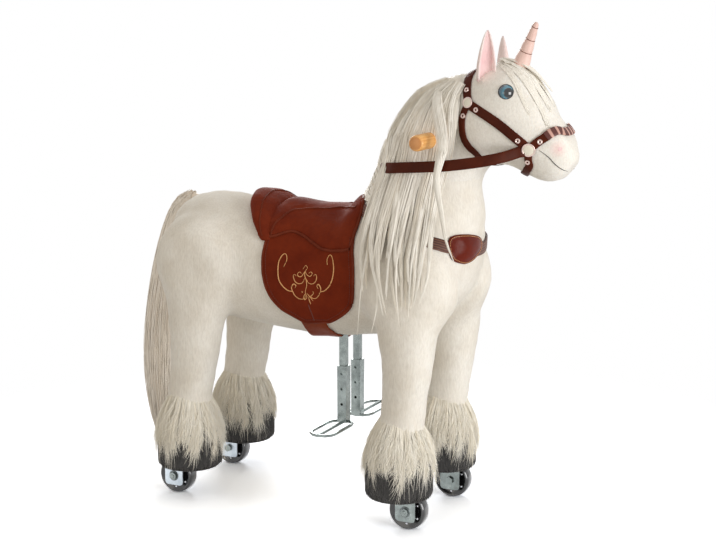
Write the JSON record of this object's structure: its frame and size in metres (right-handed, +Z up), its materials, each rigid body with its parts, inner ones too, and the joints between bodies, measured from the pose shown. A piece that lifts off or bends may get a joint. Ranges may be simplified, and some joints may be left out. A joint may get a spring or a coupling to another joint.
{
  "type": "ride-on plush unicorn",
  "caption": "Plush ride-on unicorn with saddle, bridle, wooden steering handle and wire footrests, on wheeled, sprung legs that open and close together.",
  "frame": {"origin": "on the floor, under the middle of the animal's outline", "axes": "+X the way the animal faces, +Y its left, +Z up; wheels stand on Z = 0"},
  "size_m": [0.9098, 0.356, 0.9269],
  "materials": {
    "plush_white": "short-pile plush",
    "fur_cream": "long-pile fur",
    "plush_black": "short-pile plush",
    "ear_pink": "short-pile plush",
    "leather_dark": "smooth artificial leather",
    "leather_tan": "smooth artificial leather",
    "strap_brown": "smooth artificial leather",
    "badge_brown": "glossy, stitched",
    "zinc_plate": "zinc plated",
    "frame_paint": "black powder coat",
    "spring_steel": "bare spring steel",
    "wheel_black": "glossy black polyurethane",
    "beech_wood": "turned, clear lacquer",
    "plywood": "bare",
    "horn_satin": "satin over stuffing",
    "eye_blue": "domed, glossy"
  },
  "bodies": {
    "body": {"chassis_frame": "frame_paint", "seat_board": "plywood", "torso_plush": "plush_white", "belly_panel": "plush_white", "saddle_seat": "leather_tan", "saddle_cantle": "leather_tan", "saddle_flap_right": "leather_dark", "saddle_flap_left": "leather_dark", "girth_strap": "leather_tan", "breast_strap": "strap_brown", "chest_badge": "badge_brown", "tail": "fur_cream", "mane_fall": "fur_cream", "footrest_post_right": "zinc_plate", "footrest_post_left": "zinc_plate", "front_spring": "spring_steel", "rear_spring": "spring_steel"},
    "front_legs": {"front_leg_frame": "frame_paint", "fore_leg_right": "plush_white", "fore_leg_left": "plush_white", "fore_cuff_right": "fur_cream", "fore_cuff_left": "fur_cream", "fore_hoof_right": "plush_black", "fore_hoof_left": "plush_black"},
    "rear_legs": {"rear_leg_frame": "frame_paint", "hind_leg_right": "plush_white", "hind_leg_left": "plush_white", "hind_cuff_right": "fur_cream", "hind_cuff_left": "fur_cream", "hind_hoof_right": "plush_black", "hind_hoof_left": "plush_black", "rear_axle_right": "zinc_plate", "rear_axle_left": "zinc_plate"},
    "neck": {"steering_column": "zinc_plate", "handle_dowel": "beech_wood", "neck_plush": "plush_white", "head_plush": "plush_white", "ear_right": "ear_pink", "ear_left": "ear_pink", "horn": "horn_satin", "eye_right": "eye_blue", "eye_left": "eye_blue", "mane": "fur_cream", "headstall": "strap_brown", "noseband": "strap_brown", "bit_ring_right": "zinc_plate", "bit_ring_left": "zinc_plate", "rein": "strap_brown"},
    "tie_bar": {"tie_bar": "zinc_plate"},
    "sync_rod": {"sync_rod": "zinc_plate"},
    "front_fork_right": {"front_fork_right": "zinc_plate", "front_axle_right": "zinc_plate"},
    "front_wheel_right": {"front_wheel_right": "wheel_black"},
    "rear_wheel_right": {"rear_wheel_right": "wheel_black"},
    "footrest_right": {"footrest_right": "zinc_plate"},
    "front_fork_left": {"front_fork_left": "zinc_plate", "front_axle_left": "zinc_plate"},
    "front_wheel_left": {"front_wheel_left": "wheel_black"},
    "rear_wheel_left": {"rear_wheel_left": "wheel_black"},
    "footrest_left": {"footrest_left": "zinc_plate"}
  },
  "joints": [
    {"name": "gallop", "type": "hinge", "parent": "body", "child": "rear_legs", "pos_m": [-0.268, 0, 0.462], "axis": [0, 1, 0], "range_deg": [0, 12], "stiffness_Nm_per_rad": 40, "springref_deg": -11.46, "deforming": ["rear_spring"]},
    {"name": "front_gallop", "type": "hinge", "parent": "body", "child": "front_legs", "pos_m": [0.1675, 0, 0.45], "axis": [0, -1, 0], "range_deg": [0, 12], "stiffness_Nm_per_rad": 40, "springref_deg": -11.46, "deforming": ["front_spring"]},
    {"name": "sync_slide", "type": "slide", "parent": "body", "child": "sync_rod", "axis": [-1, 0, 0], "range_m": [0, 0.0084]},
    {"name": "steer", "type": "hinge", "parent": "body", "child": "neck", "pos_m": [0.1675, 0, 0.6], "axis": [0, 0, 1], "range_deg": [-18, 18]},
    {"name": "tie_slide", "type": "slide", "parent": "front_legs", "child": "tie_bar", "axis": [0, 1, 0], "range_m": [-0.0126, 0.0126]},
    {"name": "fork_steer_right", "type": "hinge", "parent": "front_legs", "child": "front_fork_right", "pos_m": [0.1675, -0.106, 0.3], "axis": [0, 0, 1], "range_deg": [-18, 18]},
    {"name": "front_wheel_spin_right", "type": "hinge", "parent": "front_fork_right", "child": "front_wheel_right", "pos_m": [0.182, -0.106, 0.036], "axis": [0, 1, 0], "continuous": true},
    {"name": "rear_wheel_spin_right", "type": "hinge", "parent": "rear_legs", "child": "rear_wheel_right", "pos_m": [-0.318, -0.106, 0.036], "axis": [0, 1, 0], "continuous": true},
    {"name": "footrest_slide_right", "type": "slide", "parent": "body", "child": "footrest_right", "axis": [0, 0, 1], "range_m": [-0.03, 0.04]},
    {"name": "fork_steer_left", "type": "hinge", "parent": "front_legs", "child": "front_fork_left", "pos_m": [0.1675, 0.106, 0.3], "axis": [0, 0, 1], "range_deg": [-18, 18]},
    {"name": "front_wheel_spin_left", "type": "hinge", "parent": "front_fork_left", "child": "front_wheel_left", "pos_m": [0.182, 0.106, 0.036], "axis": [0, 1, 0], "continuous": true},
    {"name": "rear_wheel_spin_left", "type": "hinge", "parent": "rear_legs", "child": "rear_wheel_left", "pos_m": [-0.318, 0.106, 0.036], "axis": [0, 1, 0], "continuous": true},
    {"name": "footrest_slide_left", "type": "slide", "parent": "body", "child": "footrest_left", "axis": [0, 0, 1], "range_m": [-0.03, 0.04]}
  ],
  "couplings": [
    {"joint": "front_gallop", "follows": "gallop", "ratio": 1},
    {"joint": "sync_slide", "follows": "gallop", "m_per_rad": 0.04},
    {"joint": "tie_slide", "follows": "steer", "m_per_rad": 0.04},
    {"joint": "fork_steer_right", "follows": "steer", "ratio": 1},
    {"joint": "fork_steer_left", "follows": "steer", "ratio": 1}
  ]
}
